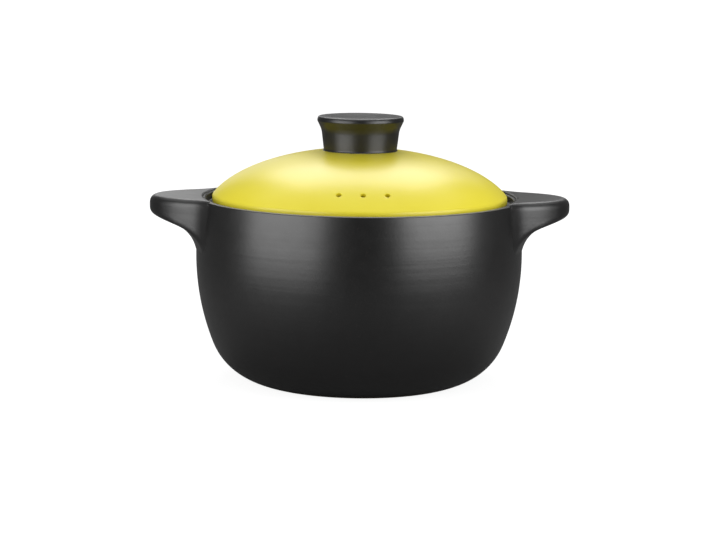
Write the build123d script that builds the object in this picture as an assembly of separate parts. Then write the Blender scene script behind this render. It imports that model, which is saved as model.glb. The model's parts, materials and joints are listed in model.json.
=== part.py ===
from build123d import *
import math
import os

# Chinese sand pot: a round-bellied clay casserole with two half-moon ears, and a domed lid
# with three steam vents and a flared knob. It is formed as five pieces of clay and fired as
# two, the pot with its ears and the lid with its knob.
# Millimetres, +Z up, +X through the ears, -Y the side with the vents. The origin is the
# centre of the foot, on the surface that the pot stands on.

# Bowl, outside
belly_radius = 110.0          # widest radius of the bowl
belly_height = 84.0           # height of the widest ring above the table
belly_to_rim = 39.0           # height of the wall above the widest ring
side_radius = 161.0           # bend of the wall below the widest ring
shoulder_radius = 350.0       # bend of the wall above it
corner_radius = 42.0          # round corner between wall and foot
foot_trim = 1.7               # how deep the round corner is ground flat to make the foot

# Bowl, inside and foot
wall = 6.5                    # thickness of the wall
floor_height = 8.5            # top of the floor inside
inner_corner_radius = 34.0    # round corner between floor and wall inside
foot_width = 8.0              # width of the ring that stands on the table
recess_depth = 1.5            # hollow turned out of the underside
recess_round = 1.2            # round edge between the ring and the hollow

# Rim and the sunk ledge that carries the lid
lip_round = 3.0               # outer edge of the rim
rim_width = 4.4               # width of the rim above the ledge
rim_inner_round = 1.2         # inner edge of the rim
ledge_depth = 5.0             # how far the ledge lies below the rim
ledge_width = 9.5
ledge_root_round = 1.0        # inside corner between ledge and rim
mouth_round = 1.5             # edge of the ledge over the mouth
ledge_thickness = 4.5
ledge_sweep = 17.0            # height of the curve that carries the ledge on the wall

# Ears
ear_reach = 31.5              # how far an ear stands out from the belly
ear_tip_radius = 37.0         # half-moon plan, bend round the tip
ear_flank_radius = 70.0       # bend of its two flanks
ear_flank_turn = 40.0         # degrees, how far a flank has turned where the tip's bend starts
ear_rise = 0.7                # how far the ear stands up above the rim
ear_tip_thickness = 11.2
ear_slope = 18.5              # degrees, fall of the underside towards the wall
ear_sweep_radius = 24.0       # curve of the underside into the wall
ear_root_sink = 0.4           # how deep that curve ends in the wall
ear_top_round = 4.8
ear_bottom_round = 4.5
ear_flank_round = 16.0        # rounds the half-moon off below, where it runs into the wall

# Lid
lid_rim_gap = 4.2             # play between the lid's edge and the rim
lid_rise = 38.0               # crown above the ledge
dome_overrun = 6.4            # how far the dome's ellipse would run on past the edge
lid_edge_height = 6.8         # where the dome would meet the edge, above the ledge
lid_edge_round = 3.5          # upper edge
lid_foot_round = 2.5          # lower edge
ring_gap = 2.0                # play between the locating ring and the mouth
ring_width = 5.0
ring_depth = 5.0
ring_round = 1.5
ring_root_round = 1.0
crown_wall = 5.5              # thickness of the lid at its crown
hollow_overrun = 5.0          # how far the hollow's ellipse would run on past the ring
hollow_edge_height = 4.8      # where the hollow meets the ring, above the ledge
air_hole_radius = 1.5         # lets the air out of the hollow knob in the kiln

# Steam vents
vent_count = 3
vent_inset = 10.7             # how far the vents lie in from the lid's edge
vent_pitch = 10.0             # degrees between vents
vent_row_turn = 1.4           # degrees, the row is off the middle of the front
vent_radius = 1.9

# Knob
knob_foot_radius = 25.2
knob_foot_height = 1.7        # straight foot above the crown
knob_flare = 3.6              # how much the flare widens
knob_flare_height = 16.1
knob_lip_height = 4.3
knob_lip_round = 2.6
dish_radius = 22.0            # shallow dish in the top
dish_depth = 1.5
knob_wall = 9.0               # the knob is an upturned cup, closed by the dome
knob_top_wall = 8.0
knob_hollow_round = 4.0

# One overrun serves all the cutting shapes.
overrun = 2.0


def turned(outline):
    """A solid turned about the pot's axis from a closed outline in radius and height."""
    return revolve(Plane.XZ * make_face(outline), Axis.Z)


def on_arc(centre, radius, height):
    """The point at a height on the outer side of an arc about a centre."""
    rise = height - centre.Y
    return Vector(centre.X + math.sqrt(radius**2 - rise**2), height)


def arc_through(centre, radius, start, end):
    """The arc about a centre from one point to another, by way of their middle direction."""
    middle = (start - centre).normalized() + (end - centre).normalized()
    return ThreePointArc(start, centre + middle.normalized() * radius, end)


def band(left, right, bottom, top):
    """A rectangle given by its sides."""
    return Pos((left + right) / 2, (bottom + top) / 2) * Rectangle(right - left, top - bottom)


# Levels and centres that more than one piece follows
rim_height = belly_height + belly_to_rim
ledge_height = rim_height - ledge_depth
side_centre = Vector(belly_radius - side_radius, belly_height)
shoulder_centre = Vector(belly_radius - shoulder_radius, belly_height)


def corner_centre(wall_radius, radius, height):
    """The centre of a corner arc that runs tangent into the side of the bowl."""
    drop = side_centre.Y - height
    return Vector(side_centre.X + math.sqrt((wall_radius - radius) ** 2 - drop**2), height)


# Corner points of the bowl outside
outer_corner = corner_centre(side_radius, corner_radius, corner_radius - foot_trim)
foot_edge = on_arc(outer_corner, corner_radius, 0)
outer_join = side_centre + (outer_corner - side_centre).normalized() * side_radius
belly = Vector(belly_radius, belly_height)
lip_start = on_arc(shoulder_centre, shoulder_radius, rim_height - lip_round)
lip_lean = (lip_start.Y - shoulder_centre.Y) / (lip_start.X - shoulder_centre.X)
lip_corner = Vector(lip_start.X - lip_lean * lip_round, rim_height)

# Radii of the ears' tips and of the seat
tip_radius = belly_radius + ear_reach
seat_radius = lip_corner.X - rim_width
mouth_radius = seat_radius - ledge_width


def make_bowl():
    """The bowl turned in one piece: foot, belly, rim, sunk ledge and inside."""
    recess_radius = foot_edge.X - foot_width
    foot = FilletPolyline(
        (0, recess_depth),
        (recess_radius, recess_depth),
        (recess_radius, 0),
        (foot_edge.X, 0),
        radius=(recess_round, 0),
    )
    outside = [
        arc_through(outer_corner, corner_radius, foot_edge, outer_join),
        arc_through(side_centre, side_radius, outer_join, belly),
        arc_through(shoulder_centre, shoulder_radius, belly, lip_start),
    ]
    ledge_foot = Vector(mouth_radius, ledge_height - ledge_thickness)
    rim = FilletPolyline(
        lip_start,
        lip_corner,
        (seat_radius, rim_height),
        (seat_radius, ledge_height),
        (mouth_radius, ledge_height),
        ledge_foot,
        radius=(lip_round, rim_inner_round, ledge_root_round, mouth_round),
    )
    inner_belly = belly - Vector(wall, 0)
    sweep_end = on_arc(shoulder_centre, shoulder_radius - wall, ledge_foot.Y - ledge_sweep)
    sweep_lean = (sweep_end.Y - shoulder_centre.Y) / (sweep_end.X - shoulder_centre.X)
    sweep = Spline(ledge_foot, sweep_end, tangents=((0, -1), (sweep_lean, -1)))
    inner_corner = corner_centre(
        side_radius - wall, inner_corner_radius, floor_height + inner_corner_radius
    )
    inner_join = side_centre + (inner_corner - side_centre).normalized() * (side_radius - wall)
    floor_edge = Vector(inner_corner.X, floor_height)
    inside = [
        arc_through(shoulder_centre, shoulder_radius - wall, sweep_end, inner_belly),
        arc_through(side_centre, side_radius - wall, inner_belly, inner_join),
        arc_through(inner_corner, inner_corner_radius, inner_join, floor_edge),
        Line(floor_edge, (0, floor_height)),
        Line((0, floor_height), (0, recess_depth)),
    ]
    return turned([foot, *outside, rim, sweep, *inside])


def make_bowl_blank():
    """The bowl's outer form, filled, which the ears are fitted to as far in as the rim's crest."""
    crest = lip_corner - Vector(lip_round, 0)
    outline = [
        Line((0, 0), foot_edge),
        arc_through(outer_corner, corner_radius, foot_edge, outer_join),
        arc_through(side_centre, side_radius, outer_join, belly),
        arc_through(shoulder_centre, shoulder_radius, belly, lip_start),
        FilletPolyline(lip_start, lip_corner, crest, radius=lip_round),
        Line(crest, crest + Vector(0, overrun)),
        Line(crest + Vector(0, overrun), (0, rim_height + overrun)),
        Line((0, rim_height + overrun), (0, 0)),
    ]
    return turned(outline)


def ear_plan():
    """The half-moon in plan: one bend round the tip and a slacker one on each flank."""
    turn = math.radians(ear_flank_turn)
    outward = Vector(math.sin(turn), math.cos(turn))
    tip_centre = Vector(tip_radius - ear_tip_radius, 0)
    join = tip_centre + outward * ear_tip_radius
    flank_centre = join - outward * ear_flank_radius
    flank_end = flank_centre + Vector(0, ear_flank_radius)
    flank = arc_through(flank_centre, ear_flank_radius, join, flank_end)
    tip = ThreePointArc(join, (tip_radius, 0), (join.X, -join.Y))
    chord = Line(flank_end, (flank_end.X, -flank_end.Y))
    return make_face([tip, flank, mirror(flank, Plane.XZ), chord])


def make_ear():
    """The half-moon lug on the +X side, its root cut to the wall of the bowl."""
    slope = math.radians(ear_slope)
    top_height = rim_height + ear_rise
    tip_height = top_height - ear_tip_thickness
    past_tip = Vector(tip_radius + overrun, tip_height + overrun * math.tan(slope))
    # The sweep's centre lies out from the wall, below the sloping underside.
    sweep_centre_x = belly_radius - ear_root_sink + ear_sweep_radius
    sweep_start_x = sweep_centre_x - ear_sweep_radius * math.sin(slope)
    sweep_start_z = tip_height - (tip_radius - sweep_start_x) * math.tan(slope)
    sweep_start = Vector(sweep_start_x, sweep_start_z)
    sweep_centre = Vector(sweep_centre_x, sweep_start_z - ear_sweep_radius * math.cos(slope))
    sweep_end = Vector(sweep_centre_x - ear_sweep_radius, sweep_centre.Y)
    # Below the sweep the lug runs on down inside the wall, where the bowl is cut away.
    base = sweep_end.Y - overrun
    tail = Vector(sweep_end.X, base - overrun)
    side = [
        Line((0, top_height), (past_tip.X, top_height)),
        Line((past_tip.X, top_height), past_tip),
        Line(past_tip, sweep_start),
        arc_through(sweep_centre, ear_sweep_radius, sweep_start, sweep_end),
        Line(sweep_end, tail),
        Line(tail, (0, tail.Y)),
        Line((0, tail.Y), (0, top_height)),
    ]
    moon = extrude(Pos(0, 0, base) * ear_plan(), top_height - base)
    moon = fillet(moon.edges().group_by(Axis.Z)[0].filter_by(GeomType.CIRCLE), ear_flank_round)
    lug = turned(side) & moon
    lug = fillet(lug.edges().group_by(Axis.Z)[-1].filter_by(GeomType.CIRCLE), ear_top_round)
    # Only the edges where the side wall meets the underside are neither lines nor circles.
    lug = fillet(lug.edges().filter_by(GeomType.BSPLINE), ear_bottom_round)
    return lug - make_bowl_blank()


# The lid's edge, its locating ring and its two ellipses, the dome and the hollow under it
lid_edge_radius = seat_radius - lid_rim_gap
vent_ring_radius = lid_edge_radius - vent_inset
ring_radius = mouth_radius - ring_gap
ring_inner_radius = ring_radius - ring_width
crown_height = ledge_height + lid_rise


def ellipse_rise(half_width, edge_radius, height):
    """The half height of an ellipse that falls by a height from its top to an edge radius."""
    return height / (1 - math.sqrt(1 - (edge_radius / half_width) ** 2))


dome_radius = lid_edge_radius + dome_overrun
dome_rise = ellipse_rise(dome_radius, lid_edge_radius, lid_rise - lid_edge_height)
dome_centre = crown_height - dome_rise
hollow_radius = ring_inner_radius + hollow_overrun
hollow_top = crown_height - crown_wall
hollow_edge = ledge_height + hollow_edge_height
hollow_rise = ellipse_rise(hollow_radius, ring_inner_radius, hollow_top - hollow_edge)


def dome_section():
    """Half of the dome's outer form in section, filled down to the ledge."""
    dome = Pos(0, dome_centre) * Ellipse(dome_radius, dome_rise)
    return dome & band(0, lid_edge_radius, ledge_height, crown_height + overrun)


def rounded(section, corner, radius):
    """The section with the corner at or nearest to a point rounded."""
    return fillet(section.vertices().sort_by_distance((*corner, 0))[0], radius)


def make_vent(turn):
    """One steam vent's hole, square to the dome, at an angle from the middle of the front."""
    outward = Vector(math.sin(turn), -math.cos(turn), 0)
    rise = dome_rise * math.sqrt(1 - (vent_ring_radius / dome_radius) ** 2)
    mouth = outward * vent_ring_radius + Vector(0, 0, dome_centre + rise)
    normal = outward * (vent_ring_radius / dome_radius**2) + Vector(0, 0, rise / dome_rise**2)
    normal = normal.normalized()
    depth = lid_edge_radius - ring_inner_radius + overrun + overrun
    start = Plane(origin=mouth + normal * overrun, z_dir=-normal)
    return start * Cylinder(vent_radius, depth, align=(Align.CENTER, Align.CENTER, Align.MIN))


def make_lid():
    """The domed lid with its locating ring, hollow underside and steam vents."""
    ring_foot = ledge_height - ring_depth
    hollow = Pos(0, hollow_top - hollow_rise) * Ellipse(hollow_radius, hollow_rise)
    hollow = hollow & band(0, hollow_radius, hollow_edge, crown_height)
    hollow = hollow + band(0, ring_inner_radius, ring_foot - overrun, hollow_edge)
    air_hole = band(0, air_hole_radius, hollow_edge, crown_height + overrun)
    section = dome_section() + band(0, ring_radius, ring_foot, ledge_height) - hollow - air_hole
    edge_height = ledge_height + lid_edge_height
    section = rounded(section, (lid_edge_radius, edge_height), lid_edge_round)
    section = rounded(section, (lid_edge_radius, ledge_height), lid_foot_round)
    section = rounded(section, (ring_radius, ledge_height), ring_root_round)
    section = rounded(section, (ring_radius, ring_foot), ring_round)
    section = rounded(section, (ring_inner_radius, ring_foot), ring_round)
    lid = revolve(Plane.XZ * section, Axis.Z)
    for index in range(vent_count):
        turn = vent_row_turn + (index - (vent_count - 1) / 2) * vent_pitch
        lid = lid - make_vent(math.radians(turn))
    return lid


def make_knob():
    """The flared drum, its foot cut to the dome and a shallow dish in its top."""
    flare_start = Vector(knob_foot_radius, crown_height + knob_foot_height)
    flare_end = flare_start + Vector(knob_flare, knob_flare_height)
    flare_radius = (knob_flare**2 + knob_flare_height**2) / (knob_flare + knob_flare)
    lean = knob_flare_height / (flare_radius - knob_flare)
    top = flare_end.Y + knob_lip_height
    dish_bend = (dish_radius**2 + dish_depth**2) / (dish_depth + dish_depth)
    dish_centre = Vector(0, top - dish_depth + dish_bend)
    outline = [
        Line((0, ledge_height), (knob_foot_radius, ledge_height)),
        Line((knob_foot_radius, ledge_height), flare_start),
        TangentArc(flare_start, flare_end, tangent=(0, 1)),
        FilletPolyline(
            flare_end,
            (flare_end.X + lean * knob_lip_height, top),
            (dish_radius, top),
            radius=knob_lip_round,
        ),
        arc_through(dish_centre, dish_bend, Vector(dish_radius, top), Vector(0, top - dish_depth)),
        Line((0, top - dish_depth), (0, ledge_height)),
    ]
    hollow_edge_radius = knob_foot_radius - knob_wall
    hollow_height = top - dish_depth - knob_top_wall
    hollow = band(0, hollow_edge_radius, ledge_height, hollow_height)
    hollow = rounded(hollow, (hollow_edge_radius, hollow_height), knob_hollow_round)
    section = make_face(outline) - hollow - dome_section()
    return revolve(Plane.XZ * section, Axis.Z)


os.makedirs("parts", exist_ok=True)
ear_right = make_ear()
export_step(make_bowl(), "parts/pot_body.step")
export_step(ear_right, "parts/ear_right.step")
export_step(mirror(ear_right, Plane.YZ), "parts/ear_left.step")
export_step(make_lid(), "parts/lid_shell.step")
export_step(make_knob(), "parts/knob.step")
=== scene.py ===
import json
import math

import bpy
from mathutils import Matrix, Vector

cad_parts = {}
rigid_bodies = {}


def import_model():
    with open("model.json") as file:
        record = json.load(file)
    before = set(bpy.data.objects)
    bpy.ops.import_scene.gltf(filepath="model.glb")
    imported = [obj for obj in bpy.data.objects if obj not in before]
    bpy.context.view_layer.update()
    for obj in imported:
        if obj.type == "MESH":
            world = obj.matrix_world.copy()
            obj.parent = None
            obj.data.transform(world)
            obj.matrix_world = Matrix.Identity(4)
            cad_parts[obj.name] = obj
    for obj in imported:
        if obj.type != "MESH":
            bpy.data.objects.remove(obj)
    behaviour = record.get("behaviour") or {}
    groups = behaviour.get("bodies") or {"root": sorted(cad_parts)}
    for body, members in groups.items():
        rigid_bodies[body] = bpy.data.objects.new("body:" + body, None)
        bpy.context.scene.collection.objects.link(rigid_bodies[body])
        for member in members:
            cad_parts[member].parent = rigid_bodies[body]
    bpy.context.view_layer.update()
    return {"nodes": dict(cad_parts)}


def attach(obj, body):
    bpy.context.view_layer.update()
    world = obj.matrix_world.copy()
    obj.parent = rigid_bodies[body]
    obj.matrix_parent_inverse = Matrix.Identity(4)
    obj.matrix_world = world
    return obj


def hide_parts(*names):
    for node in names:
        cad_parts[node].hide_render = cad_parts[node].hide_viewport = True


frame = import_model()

# A covered clay casserole, the Chinese sand pot: five pieces of stoneware clay, turned on the
# wheel or pressed in a mould, luted together while damp, dipped in glaze and fired. The pot
# with its two ears is black, the lid is yellow with a black knob. The sizes are in mm.


# The bowl is one turned piece of stoneware: ground foot, full belly, upright rim and the sunk
# ledge that the lid sits on. It is dipped in black glaze inside and out, and the foot is wiped
# bare before the firing, so that it doesn't stick to the kiln shelf.

mm = 0.001
wheel_steps = 160

belly, belly_height, belly_bend, shoulder_bend = 110.0, 84.0, 161.0, 350.0
rim_outer, rim_height, ledge_height = 107.83, 123.0, 118.0
seat, mouth = 103.43, 93.93
wall, floor = 6.5, 8.5
foot_inner, foot_outer, foot_recess, bare_foot = 63.5, 71.2, 1.5, 1.6

# The round corner over the foot and the one inside over the floor: middle, bend, and the angle
# in degrees at which each runs into the belly.
corner, corner_bend, corner_joint = (59.685, 40.3), 42.0, -21.55
inner_corner, inner_corner_bend, inner_corner_joint = (64.5, 42.5), 34.0, -17.9


def arc(centre, radius, start, end, steps):
    """Points on an arc. The angles are in degrees, from the outward direction upwards."""
    angles = [math.radians(start + (end - start) * i / steps) for i in range(steps + 1)]
    x, z = centre
    return [(x + radius * math.cos(a), z + radius * math.sin(a)) for a in angles]


def softened(corners, steps=6):
    """A run of straight lines through (radius, height, rounding), with its corners rounded."""
    nearly_straight = 1.55  # half the angle between two lines, in radians
    points = [corners[0][:2]]
    for (x0, z0, _), (x, z, rounding), (x1, z1, _) in zip(corners, corners[1:], corners[2:]):
        here = Vector((x, z))
        back = (Vector((x0, z0)) - here).normalized()
        on = (Vector((x1, z1)) - here).normalized()
        half = back.angle(on) / 2
        if not rounding or half > nearly_straight:
            points.append((x, z))
            continue
        middle = here + (back + on).normalized() * rounding / math.sin(half)
        first = here + back * rounding / math.tan(half) - middle
        last = here + on * rounding / math.tan(half) - middle
        sweep = first.angle_signed(last)
        for i in range(steps + 1):
            angle = -sweep * i / steps
            cos, sin = math.cos(angle), math.sin(angle)
            points.append((
                middle.x + first.x * cos - first.y * sin,
                middle.y + first.x * sin + first.y * cos,
            ))
    return points + [corners[-1][:2]]


def turn_on_wheel(name, outline, closed=False):
    """A piece turned about the Z axis: the outline is drawn point by point and spun round."""
    bpy.ops.object.select_all(action="DESELECT")
    bpy.ops.mesh.primitive_plane_add(size=mm)
    piece = bpy.context.object
    piece.name = piece.data.name = name
    bpy.ops.object.mode_set(mode="EDIT")
    bpy.ops.mesh.select_all(action="SELECT")
    bpy.ops.mesh.merge(type="CENTER")
    bpy.ops.transform.translate(value=(outline[0][0] * mm, 0, outline[0][1] * mm))
    for (x0, z0), (x1, z1) in zip(outline, outline[1:] + outline[:1] * closed):
        step = ((x1 - x0) * mm, 0, (z1 - z0) * mm)
        bpy.ops.mesh.extrude_region_move(TRANSFORM_OT_translate={"value": step})
    bpy.ops.mesh.select_all(action="SELECT")
    bpy.ops.mesh.remove_doubles(threshold=1e-6)
    bpy.ops.mesh.spin(steps=wheel_steps, angle=math.tau, center=(0, 0, 0), axis=(0, 0, 1))
    bpy.ops.mesh.select_all(action="SELECT")
    bpy.ops.mesh.remove_doubles(threshold=2e-6)
    bpy.ops.mesh.normals_make_consistent(inside=False)
    bpy.ops.object.mode_set(mode="OBJECT")
    bpy.ops.object.shade_smooth()
    return piece


# The belly's two long bends run up from the corner to the rim, and the wall follows inside.
belly_middle = (belly - belly_bend, belly_height)
shoulder_middle = (belly - shoulder_bend, belly_height)
outside = (
    arc(corner, corner_bend, -73.64, corner_joint, 18)
    + arc(belly_middle, belly_bend, corner_joint, 0.0, 26)[1:]
    + arc(shoulder_middle, shoulder_bend, 0.0, 5.90, 16)[1:]
)
inside = (
    arc(shoulder_middle, shoulder_bend - wall, 1.98, 0.0, 6)
    + arc(belly_middle, belly_bend - wall, 0.0, inner_corner_joint, 18)[1:]
    + arc(inner_corner, inner_corner_bend, inner_corner_joint, -90.0, 16)[1:]
)
foot = softened([
    (0, foot_recess, 0), (foot_inner, foot_recess, 1.2), (foot_inner, 0, 0.5),
    (foot_outer, 0, 0),
])
# The rim, the ledge in it, and under the ledge a slope back to the wall.
rim = softened([
    (*outside[-2], 0), (rim_outer, rim_height, 0.9), (seat, rim_height, 1.2),
    (seat, ledge_height, 1.0), (mouth, ledge_height, 1.5), (mouth, 113.5, 6.0),
    (inside[0][0], 98.0, 8.0), (*inside[1], 0),
], steps=8)
pot_bowl = turn_on_wheel("bowl", foot + outside[:-2] + rim + inside[2:] + [(0, floor)])


def colour(code):
    """The linear colour of an sRGB hex value."""
    parts = [int(code[i:i + 2], 16) / 255 for i in (1, 3, 5)]
    return [c / 12.92 if c <= 0.04045 else ((c + 0.055) / 1.055) ** 2.4 for c in parts] + [1]


def add(material, kind, values=None, links=None, **settings):
    """Adds a shader node to a material, with its socket values, links and settings."""
    node = material.node_tree.nodes.new("ShaderNode" + kind)
    for key, value in settings.items():
        setattr(node, key, value)
    for key, value in (values or {}).items():
        node.inputs[key].default_value = value
    for key, source in (links or {}).items():
        material.node_tree.links.new(source, node.inputs[key])
    return node


def new_material(name):
    """An empty material and the surface socket of its output."""
    material = bpy.data.materials.new(name)
    material.use_nodes = True
    material.node_tree.nodes.clear()
    return material, add(material, "OutputMaterial").inputs["Surface"]


# Semi-matte black glaze: iron and manganese in a stoneware glaze that cools to fine crystals.
# It gives broad soft lights, a faint brown cast where it is thin, and it follows the rings
# that the potter's fingers left, about 6 mm apart. The iron gives it a high index.
# A noise's scale is in waves per metre: its clouds are 26 mm wide, its flecks 1 mm, the
# patches of duller and brighter satin 8 mm, and its uneven skin has waves of 2.4 mm.
black_glaze, surface = new_material("semi_matte_black_glaze")
place = add(black_glaze, "TexCoord").outputs["Object"]
cloud = add(black_glaze, "TexNoise", {"Scale": 38, "Detail": 4}, {"Vector": place})
tone = add(black_glaze, "ValToRGB", links={"Fac": cloud.outputs["Fac"]})
tone.color_ramp.elements[0].position = 0.3
tone.color_ramp.elements[0].color = colour("#050505")
tone.color_ramp.elements[1].position = 0.72
tone.color_ramp.elements[1].color = colour("#0a0909")
fleck = add(black_glaze, "TexNoise", {"Scale": 900, "Detail": 2}, {"Vector": place})
fleck_mask = add(black_glaze, "MapRange", {"From Min": 0.68, "From Max": 0.76},
                 {"Value": fleck.outputs["Fac"]})
flecked = add(black_glaze, "MixRGB", {"Color2": colour("#2b2522")},
              {"Fac": fleck_mask.outputs["Result"], "Color1": tone.outputs["Color"]})
satin = add(black_glaze, "TexNoise", {"Scale": 120, "Detail": 3}, {"Vector": place})
gloss = add(black_glaze, "MapRange", {"To Min": 0.32, "To Max": 0.4},
            {"Value": satin.outputs["Fac"]})
stretch = add(black_glaze, "Mapping", {"Scale": (4, 4, 165)}, {"Vector": place})
ring_marks = add(black_glaze, "TexNoise", {"Scale": 1, "Detail": 2},
                 {"Vector": stretch.outputs["Vector"]})
rings = add(black_glaze, "Bump", {"Strength": 1.0, "Distance": 0.12 * mm},
            {"Height": ring_marks.outputs["Fac"]})
peel = add(black_glaze, "TexNoise", {"Scale": 420, "Detail": 2}, {"Vector": place})
skin = add(black_glaze, "Bump", {"Strength": 1.0, "Distance": 0.03 * mm},
           {"Height": peel.outputs["Fac"], "Normal": rings.outputs["Normal"]})
glaze = add(black_glaze, "BsdfPrincipled", {"IOR": 1.7},
            {"Base Color": flecked.outputs["Color"], "Roughness": gloss.outputs["Result"],
             "Normal": skin.outputs["Normal"]})
black_glaze.node_tree.links.new(glaze.outputs["BSDF"], surface)

# Bare stoneware, on the ground foot and under the lid: a sandy buff body, dull, with grog of
# 1 to 2 mm.
bare_clay, surface = new_material("bare_stoneware_clay")
place = add(bare_clay, "TexCoord").outputs["Object"]
grog = add(bare_clay, "TexNoise", {"Scale": 700, "Detail": 3}, {"Vector": place})
body = add(bare_clay, "ValToRGB", links={"Fac": grog.outputs["Fac"]})
body.color_ramp.elements[0].position = 0.35
body.color_ramp.elements[0].color = colour("#8d7c66")
body.color_ramp.elements[1].position = 0.7
body.color_ramp.elements[1].color = colour("#c9bb9c")
grit = add(bare_clay, "Bump", {"Strength": 1.0, "Distance": 0.1 * mm},
           {"Height": grog.outputs["Fac"]})
clay = add(bare_clay, "BsdfPrincipled", {"Roughness": 0.9, "IOR": 1.45},
           {"Base Color": body.outputs["Color"], "Normal": grit.outputs["Normal"]})
bare_clay.node_tree.links.new(clay.outputs["BSDF"], surface)

# The faces of the foot and its recess point down and are bare.
pot_bowl.data.materials.append(black_glaze)
pot_bowl.data.materials.append(bare_clay)
for face in pot_bowl.data.polygons:
    face.material_index = int(face.center.z < bare_foot * mm and face.normal.z < -0.5)
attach(pot_bowl, "pot")
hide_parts("pot_body")


# The ears are two half-moon lugs, pressed in a mould and luted to the wall just under the rim.
# The joint is wiped with a wet finger into a wide hollow, and the glaze rounds what is left
# of it.

# The plan of the finished lug and of the pressed one: tip, bends, and the angle in degrees at
# which the tip's bend runs into the flank's. The wiped hollow starts where x is 113.
ear_tip, hollow_start = 141.5, 113.0
tip_bend, flank_bend, flank_turn = 30.0, 71.0, 39.0
pressed_tip_bend, pressed_flank_bend, pressed_turn = 37.0, 70.0, 40.0
pressed_flank_x, pressed_flank_y = 83.3, -25.3

# The underside slopes in from the tip by an angle in degrees, and then sweeps down to the wall.
tip_underside, slope = 112.5, 18.5
sweep_x, sweep_z, sweep_bend = 133.6, 84.55, 24.0
sweep_start, sweep_end = 125.98, 109.6

# The pressed lug's top, the part of it that sinks onto the rim, and where it lands there.
pressed_top, crest_foot, crest_landing = 123.7, 118.0, 123.1
crest_start, crest_end = 106.6, 104.8

# How deep the root goes into the wall, up to which height, and half its length.
root_depth, root_top, root_half = 2.5, 121, 43

# The rounding of the lower edge, how much of it the mould takes back, and between which x.
edge_rounding, crispness = 4.5, 0.45
crisp_root, crisp_middle, crisp_tip = 108, 122, 134


def ramp(value, start, end):
    """From 0 at the start to 1 at the end, and level outside them."""
    return min(max((value - start) / (end - start), 0), 1)


def wall_radius(height):
    """Radius of the bowl's outside at a height."""
    bend = shoulder_bend if height > belly_height else belly_bend
    return belly - bend + math.sqrt(bend ** 2 - (height - belly_height) ** 2)


def half_moon(x, bend, side_bend, turn):
    """Half the width of a lug in plan where it reaches x, and the sine of its turn there."""
    turned = math.sin(math.radians(turn))
    join = ear_tip - bend * (1 - turned)
    if x > join:
        sine = min((x - ear_tip + bend) / bend, 1)
        return bend * math.sqrt(1 - sine ** 2), sine
    sine = turned - (join - x) / side_bend
    width = bend * math.sqrt(1 - turned ** 2)
    return width + side_bend * (math.sqrt(1 - sine ** 2) - math.sqrt(1 - turned ** 2)), sine


def wiped_width(x, height):
    """Half the width of the finished lug: the half-moon, led into the wall by a hollow."""
    if x >= hollow_start:
        return half_moon(x, tip_bend, flank_bend, flank_turn)[0]
    width, sine = half_moon(hollow_start, tip_bend, flank_bend, flank_turn)
    cosine = math.sqrt(1 - sine ** 2)
    wall_here = wall_radius(height)
    hollow = ((hollow_start ** 2 + width ** 2 - wall_here ** 2)
              / (2 * (wall_here - hollow_start * sine - width * cosine)))
    middle_x, middle_y = hollow_start + hollow * sine, width + hollow * cosine
    landing = middle_x * wall_here / (wall_here + hollow)
    reach = max(x, landing)
    return middle_y - math.sqrt(hollow ** 2 - (middle_x - reach) ** 2) + reach - x


def underside(out):
    """The height of the lug's underside at a distance from the axis: a slope and a sweep."""
    if out > sweep_start:
        return tip_underside - (ear_tip - out) * math.tan(math.radians(slope))
    return sweep_z + math.sqrt(sweep_bend ** 2 - (sweep_x - max(out, sweep_end)) ** 2)


def smooth_out(piece, rounds):
    """The glaze and the wet finger even out a surface, in so many rounds."""
    worn = piece.modifiers.new("worn", "SMOOTH")
    worn.factor, worn.iterations = 0.5, rounds
    bpy.ops.object.modifier_apply(modifier=worn.name)


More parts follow.
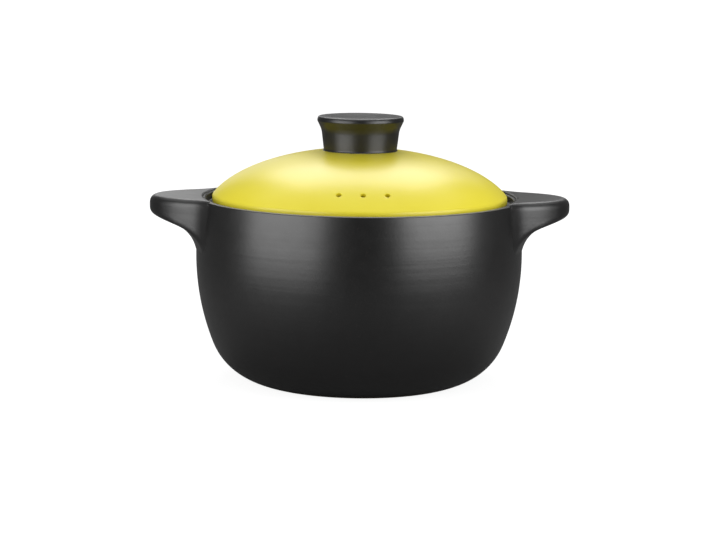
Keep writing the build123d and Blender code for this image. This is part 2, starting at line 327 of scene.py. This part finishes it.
def make_ear(name, node, top, thickness):
    """The pressed lug from its solid, made of even faces, then wiped to the finished form."""
    bpy.ops.object.select_all(action="DESELECT")
    source = frame["nodes"][node]
    source.select_set(True)
    bpy.context.view_layer.objects.active = source
    bpy.ops.object.duplicate()
    ear = bpy.context.object
    ear.name = ear.data.name = name
    ear.parent = None
    for key in list(ear.keys()):
        if key.startswith("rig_"):
            del ear[key]
    ear.data.materials.clear()
    bpy.ops.object.mode_set(mode="EDIT")
    bpy.ops.mesh.select_all(action="SELECT")
    bpy.ops.mesh.remove_doubles(threshold=1e-6)
    bpy.ops.object.mode_set(mode="OBJECT")
    # The root's face lies on the wall. It goes in, twice as deep at its two ends.
    touch = 0.03
    for v in ear.data.vertices:
        out, z = math.hypot(v.co.x, v.co.y) / mm, v.co.z / mm
        if z < root_top and out < wall_radius(z) + touch:
            depth = root_depth + root_depth * (v.co.y / (root_half * mm)) ** 2
            v.co.x -= math.copysign(depth, v.co.x) * mm
    even = ear.modifiers.new("even", "REMESH")
    even.mode = "VOXEL"
    even.voxel_size = 0.5 * mm
    bpy.ops.object.modifier_apply(modifier=even.name)
    # The remesh leaves a speck at each end of the crest: all but the lug itself comes off.
    bpy.ops.object.mode_set(mode="EDIT")
    bpy.ops.mesh.select_all(action="DESELECT")
    bpy.ops.object.mode_set(mode="OBJECT")
    max(ear.data.vertices, key=lambda v: abs(v.co.x)).select = True
    bpy.ops.object.mode_set(mode="EDIT")
    bpy.ops.mesh.select_linked()
    bpy.ops.mesh.select_all(action="INVERT")
    bpy.ops.mesh.delete(type="VERT")
    bpy.ops.object.mode_set(mode="OBJECT")
    smooth_out(ear, 12)
    # The mould leaves the lower edge of the flanks crisp, apart from the tip and the root.
    for v in ear.data.vertices:
        x, y, z = abs(v.co.x) / mm, abs(v.co.y) / mm, v.co.z / mm
        out = Vector((x - pressed_flank_x, y - pressed_flank_y))
        outward = out.length - pressed_flank_bend + edge_rounding
        downward = underside(math.hypot(x, y)) + edge_rounding - z
        if outward > 0 and downward > 0:
            near_root = ramp(x, crisp_root, crisp_middle)
            near_tip = ramp(x, crisp_tip, crisp_middle)
            pull = math.hypot(outward, downward) / max(outward, downward) - 1
            pull *= crispness * near_root * near_tip
            out.normalize()
            v.co.x += math.copysign(out.x * outward * pull * mm, v.co.x)
            v.co.y += math.copysign(out.y * outward * pull * mm, v.co.y)
            v.co.z -= downward * pull * mm
    smooth_out(ear, 8)
    # Wiping narrows the plan, read 0.1 mm short of the tip. The top rounds over onto the rim.
    for v in ear.data.vertices:
        x, z = abs(v.co.x) / mm, v.co.z / mm
        on_plan = min(x, ear_tip - 0.1)
        pressed = half_moon(on_plan, pressed_tip_bend, pressed_flank_bend, pressed_turn)[0]
        v.co.y *= wiped_width(on_plan, z) / pressed
        v.co.z = (top - (pressed_top - z) * thickness) * mm
        if z > crest_foot:
            over_rim = ramp(math.hypot(x, v.co.y / mm), crest_start, crest_end)
            drop = (top - crest_landing) * mm * (1 - math.sqrt(1 - over_rim ** 2))
            v.co.z -= drop * (z - crest_foot) / (pressed_top - crest_foot)
    bpy.ops.object.shade_smooth()
    return ear


# The left lug came out of its mould a little thicker than the right one.
for name, node, top, thickness in (("left_ear", "ear_left", 123.9, 1.07),
                                   ("right_ear", "ear_right", 124.3, 1.03)):
    ear = make_ear(name, node, top, thickness)
    ear.data.materials.append(black_glaze)
    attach(ear, "pot")
    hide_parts(node)


# The lid is a domed shell, turned in one piece with the ring that keeps it in the mouth of the
# pot. It is dipped in yellow glaze. Its lower edge and the ring are wiped bare, and three steam
# vents and an air hole under the knob are pierced through the damp clay.

edge, air_hole = 99.23, 1.5
dome_width, dome_height, dome_middle = 105.63, 47.46, 108.54
hollow_width, hollow_height, hollow_middle = 91.93, 41.0, 109.5
ring_outer, ring_inner, ring_bottom = 91.93, 86.93, 113.0
vent_circle, vent_radius, vent_turns = 88.53, 1.9, (-8.6, 1.4, 11.4)
bare_height, bare_inner = 118.6, 86.0


def ellipse(width, height, middle, radii):
    """Points on the upper half of an ellipse at these radii."""
    return [(r, middle + height * math.sqrt(1 - (r / width) ** 2)) for r in radii]


dome = ellipse(dome_width, dome_height, dome_middle,
               [air_hole] + list(range(4, 92, 2)) + [92, 93.5, 95, 96.4])
edge_top = ellipse(dome_width, dome_height, dome_middle, [edge])[0]
hollow = ellipse(hollow_width, hollow_height, hollow_middle,
                 [ring_inner, 86, 84.5, 83, 81, 79, 76, 73] + list(range(69, 3, -4))
                 + [air_hole])
lid_edge = softened([
    (*dome[-1], 0), (*edge_top, 3.5), (edge, ledge_height, 2.5),
    (ring_outer, ledge_height, 1.0), (ring_outer, ring_bottom, 1.5),
    (ring_inner, ring_bottom, 1.5), (*hollow[0], 0),
], steps=8)
lid = turn_on_wheel("domed_lid", dome[:-1] + lid_edge + hollow[1:], closed=True)

# The vents: a row of three round holes in front, square to the dome.
out, up = ellipse(dome_width, dome_height, dome_middle, [vent_circle])[0]
lean = math.atan2(out / dome_width ** 2, (up - dome_middle) / dome_height ** 2)
for turn in vent_turns:
    across, back = math.sin(math.radians(turn)), -math.cos(math.radians(turn))
    bpy.ops.object.select_all(action="DESELECT")
    bpy.ops.mesh.primitive_cylinder_add(
        vertices=40, radius=vent_radius * mm, depth=30 * mm,
        location=(across * out * mm, back * out * mm, up * mm),
        rotation=(lean, 0, math.radians(turn)))
    pin = bpy.context.object
    bpy.ops.object.transform_apply(location=True, rotation=True, scale=True)
    pierced = lid.modifiers.new("pierced", "BOOLEAN")
    pierced.operation, pierced.object = "DIFFERENCE", pin
    bpy.context.view_layer.objects.active = lid
    bpy.ops.object.modifier_apply(modifier=pierced.name)
    bpy.data.objects.remove(pin)
rounded = lid.modifiers.new("rounded", "BEVEL")
rounded.width, rounded.segments = 0.35 * mm, 3
rounded.limit_method, rounded.angle_limit = "ANGLE", math.radians(55)
bpy.ops.object.modifier_apply(modifier=rounded.name)
bpy.ops.object.select_all(action="DESELECT")
lid.select_set(True)
bpy.ops.object.shade_smooth_by_angle(angle=math.radians(50))

# Satin yellow glaze: a tin-white stoneware glaze stained with praseodymium yellow. It is
# thick and even on the dome, with clouds 38 mm wide and a skin with waves of 2.6 mm, and
# thins to the buff clay over the last 3 mm of the edge, along a line that wanders by 0.6 mm.
yellow_glaze, surface = new_material("satin_yellow_glaze")
place = add(yellow_glaze, "TexCoord").outputs["Object"]
cloud = add(yellow_glaze, "TexNoise", {"Scale": 26, "Detail": 4}, {"Vector": place})
tone = add(yellow_glaze, "ValToRGB", links={"Fac": cloud.outputs["Fac"]})
tone.color_ramp.elements[0].position = 0.3
tone.color_ramp.elements[0].color = colour("#e4d532")
tone.color_ramp.elements[1].position = 0.7
tone.color_ramp.elements[1].color = colour("#e8da3c")
height = add(yellow_glaze, "SeparateXYZ", links={"Vector": place}).outputs["Z"]
drip = add(yellow_glaze, "TexNoise", {"Scale": 60, "Detail": 3}, {"Vector": place})
line = add(yellow_glaze, "MapRange",
           {"From Min": 0.3, "From Max": 0.7, "To Min": -0.6 * mm, "To Max": 0.6 * mm},
           {"Value": drip.outputs["Fac"]})
wavy = add(yellow_glaze, "Math", links={0: height, 1: line.outputs["Result"]}, operation="ADD")
bare = add(yellow_glaze, "MapRange", {"From Min": 121.3 * mm, "From Max": 119.6 * mm},
           {"Value": wavy.outputs["Value"]})
thin = add(yellow_glaze, "MixRGB", {"Color2": colour("#c4b780")},
           {"Fac": bare.outputs["Result"], "Color1": tone.outputs["Color"]})
gloss = add(yellow_glaze, "MapRange", {"To Min": 0.34, "To Max": 0.85},
            {"Value": bare.outputs["Result"]})
peel = add(yellow_glaze, "TexNoise", {"Scale": 380, "Detail": 2}, {"Vector": place})
skin = add(yellow_glaze, "Bump", {"Strength": 1.0, "Distance": 0.03 * mm},
           {"Height": peel.outputs["Fac"]})
glaze = add(yellow_glaze, "BsdfPrincipled", {"IOR": 1.5},
            {"Base Color": thin.outputs["Color"], "Roughness": gloss.outputs["Result"],
             "Normal": skin.outputs["Normal"]})
yellow_glaze.node_tree.links.new(glaze.outputs["BSDF"], surface)

# The lid's lower edge and its ring are bare.
lid.data.materials.append(yellow_glaze)
lid.data.materials.append(bare_clay)
for face in lid.data.polygons:
    out = math.hypot(face.center.x, face.center.y)
    face.material_index = int(face.center.z < bare_height * mm and out > bare_inner * mm)
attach(lid, "lid")
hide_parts("lid_shell")


# The knob is a flared drum, turned as an upturned cup and luted to the crown of the lid. Its
# top is dished, and its lip stands out so that the fingers hold it. It has the pot's black
# glaze.

knob_foot, cup_radius, cup_top = 153.6, 16.2, 168.1
dish_floor, dish_bend = 176.6, 162.98

# The drum's wall, lip and rim, then the dish in its top, and the hollow inside.
drum = softened([
    (25.5, knob_foot, 0), (25.5, 154.1, 0), (24.6, 155.4, 2.0), (26.2, 168.6, 14.0),
    (29.15, 174.8, 2.0), (28.6, 177.6, 1.6), (23.5, 178.1, 4.0), (14.0, 177.2, 0),
], steps=10)
dish = [(r, dish_floor + r * r / (2 * dish_bend)) for r in (11, 8, 5, 2.5, 0)]
cup = softened([(0, cup_top, 0), (cup_radius, cup_top, 4.0), (cup_radius, knob_foot, 0)])
knob = turn_on_wheel("flared_knob", cup + drum + dish)
knob.data.materials.append(black_glaze)
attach(knob, "lid")
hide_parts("knob")


# The table is a plain white board, with a soft light low on each side of the camera, near the
# pot, and a broad one above and behind. The room is white to the camera. From here on the
# sizes are in metres.

bpy.ops.object.select_all(action="DESELECT")
bpy.ops.mesh.primitive_plane_add(size=30)
table = bpy.context.object
table.name = table.data.name = "table"
white_board, surface = new_material("matt_white_board")
place = add(white_board, "TexCoord").outputs["Object"]
rays = add(white_board, "LightPath")
paper = add(white_board, "BsdfDiffuse", {"Color": colour("#7c7c7c")})
# To the camera the board also glows, a little less near the pot: the dip is painted shade round
# the pot's base, which deepens its shadow on the board.
apart = add(white_board, "VectorMath", links={0: place}, operation="LENGTH")
glow_with_painted_shade = add(white_board, "MapRange",
           {"From Min": 0.1, "From Max": 0.5, "To Min": 0.9, "To Max": 1.0},
           {"Value": apart.outputs["Value"]})
bright = add(white_board, "Emission", {"Color": colour("#ffffff")},
             {"Strength": glow_with_painted_shade.outputs["Result"]})
lit = add(white_board, "AddShader")
seen = add(white_board, "MixShader", links={"Fac": rays.outputs["Is Camera Ray"]})
tree = white_board.node_tree
tree.links.new(paper.outputs["BSDF"], lit.inputs[0])
tree.links.new(bright.outputs["Emission"], lit.inputs[1])
tree.links.new(paper.outputs["BSDF"], seen.inputs[1])
tree.links.new(lit.outputs["Shader"], seen.inputs[2])
tree.links.new(seen.outputs["Shader"], surface)
table.data.materials.append(white_board)

# The room: white to the camera and in the glaze, and dimmer as the light that falls on things.
room = bpy.data.worlds.new("white_room")
bpy.context.scene.world = room
room.use_nodes = True
room.node_tree.nodes.clear()
rays = add(room, "LightPath")
shown = add(room, "Math", operation="MAXIMUM",
            links={0: rays.outputs["Is Camera Ray"], 1: rays.outputs["Is Glossy Ray"]})
shown = add(room, "Math", operation="MAXIMUM",
            links={0: shown.outputs["Value"], 1: rays.outputs["Is Transmission Ray"]})
level = add(room, "MapRange", {"To Min": 0.74, "To Max": 1.0}, {"Value": shown.outputs["Value"]})
sky = add(room, "Background", {"Color": colour("#ffffff")}, {"Strength": level.outputs["Result"]})
room.node_tree.links.new(sky.outputs["Background"],
                         add(room, "OutputWorld").inputs["Surface"])


def softbox(name, azimuth, elevation, distance, width, height, radiance):
    """A soft light turned to the pot. Azimuth 0 is the camera's side. Angles in degrees."""
    pot_middle = Vector((0, 0, 0.09))
    lamp = bpy.data.lights.new(name, "AREA")
    lamp.shape, lamp.size, lamp.size_y = "RECTANGLE", width, height
    lamp.energy = radiance * math.pi * width * height
    light = bpy.data.objects.new(name, lamp)
    bpy.context.scene.collection.objects.link(light)
    a, e = math.radians(azimuth), math.radians(elevation)
    away = Vector((math.sin(a) * math.cos(e), -math.cos(a) * math.cos(e), math.sin(e)))
    light.location = pot_middle + away * distance
    light.rotation_mode = "QUATERNION"
    light.rotation_quaternion = away.to_track_quat("Z", "Y")
    light.visible_camera = False


softbox("left_softbox", azimuth=-48, elevation=12, distance=0.42, width=0.4, height=0.27,
        radiance=3.3)
softbox("right_softbox", azimuth=50, elevation=14, distance=0.42, width=0.36, height=0.25,
        radiance=4.0)
softbox("top_softbox", azimuth=180, elevation=50, distance=1.2, width=0.85, height=0.65,
        radiance=3.75)

# Grey paper hangs at the sides of the set, and black cloth in front and straight behind. They
# keep the white room out of the glaze, apart from two openings behind the pot, the right one
# higher up, and lie out of the picture. Turns are in degrees, from behind to the right.
hangings_radius, hangings_height, hem = 2.4, 2.4, 0.01
left_opening, right_opening, sill = (-21, -6), (9, 21), 0.8
paper_end = 110

bpy.ops.object.select_all(action="DESELECT")
bpy.ops.mesh.primitive_cylinder_add(
    vertices=120, radius=hangings_radius, depth=hangings_height, end_fill_type="NOTHING",
    location=(0, 0, hangings_height / 2 + hem))
hangings = bpy.context.object
hangings.name = hangings.data.name = "hangings"
bpy.ops.object.transform_apply(location=True)
bpy.ops.object.mode_set(mode="EDIT")
bpy.ops.mesh.select_all(action="SELECT")
bpy.ops.mesh.bisect(plane_co=(0, 0, sill), plane_no=(0, 0, 1))
bpy.ops.mesh.select_all(action="DESELECT")
bpy.ops.object.mode_set(mode="OBJECT")
velvet, surface = new_material("black_cloth")
pile = add(velvet, "BsdfDiffuse", {"Color": colour("#050505")})
velvet.node_tree.links.new(pile.outputs["BSDF"], surface)
grey_paper, surface = new_material("dim_grey_paper")
glow = add(grey_paper, "Emission", {"Color": colour("#ffffff"), "Strength": 0.14})
grey_paper.node_tree.links.new(glow.outputs["Emission"], surface)
hangings.data.materials.append(velvet)
hangings.data.materials.append(grey_paper)
for face in hangings.data.polygons:
    turn = math.degrees(math.atan2(face.center.x, face.center.y))
    in_left = left_opening[0] < turn < left_opening[1]
    in_right = right_opening[0] < turn < right_opening[1]
    face.select = in_left or (in_right and face.center.z > sill)
    face.material_index = int(-paper_end < turn < left_opening[1]
                              or right_opening[0] < turn < paper_end)
bpy.ops.object.mode_set(mode="EDIT")
bpy.ops.mesh.delete(type="FACE")
bpy.ops.object.mode_set(mode="OBJECT")
hangings.visible_camera = False

# The camera stands 1.33 m in front and 9 degrees above, rolled by 0.7 degrees.
eye, target = Vector((-0.00057, -1.334, 0.2804)), Vector((-0.00057, 0, 0.0732))
roll = math.radians(0.683)
camera = bpy.data.objects.new("camera", bpy.data.cameras.new("camera"))
bpy.context.scene.collection.objects.link(camera)
camera.data.lens, camera.data.sensor_width = 100.06, 36.0
camera.location = eye
camera.rotation_mode = "QUATERNION"
camera.rotation_quaternion = (target - eye).to_track_quat("-Z", "Y")
camera.rotation_mode = "XYZ"
camera.rotation_euler.rotate_axis("Z", roll)
bpy.context.scene.camera = camera
bpy.context.scene.view_settings.view_transform = "Standard"
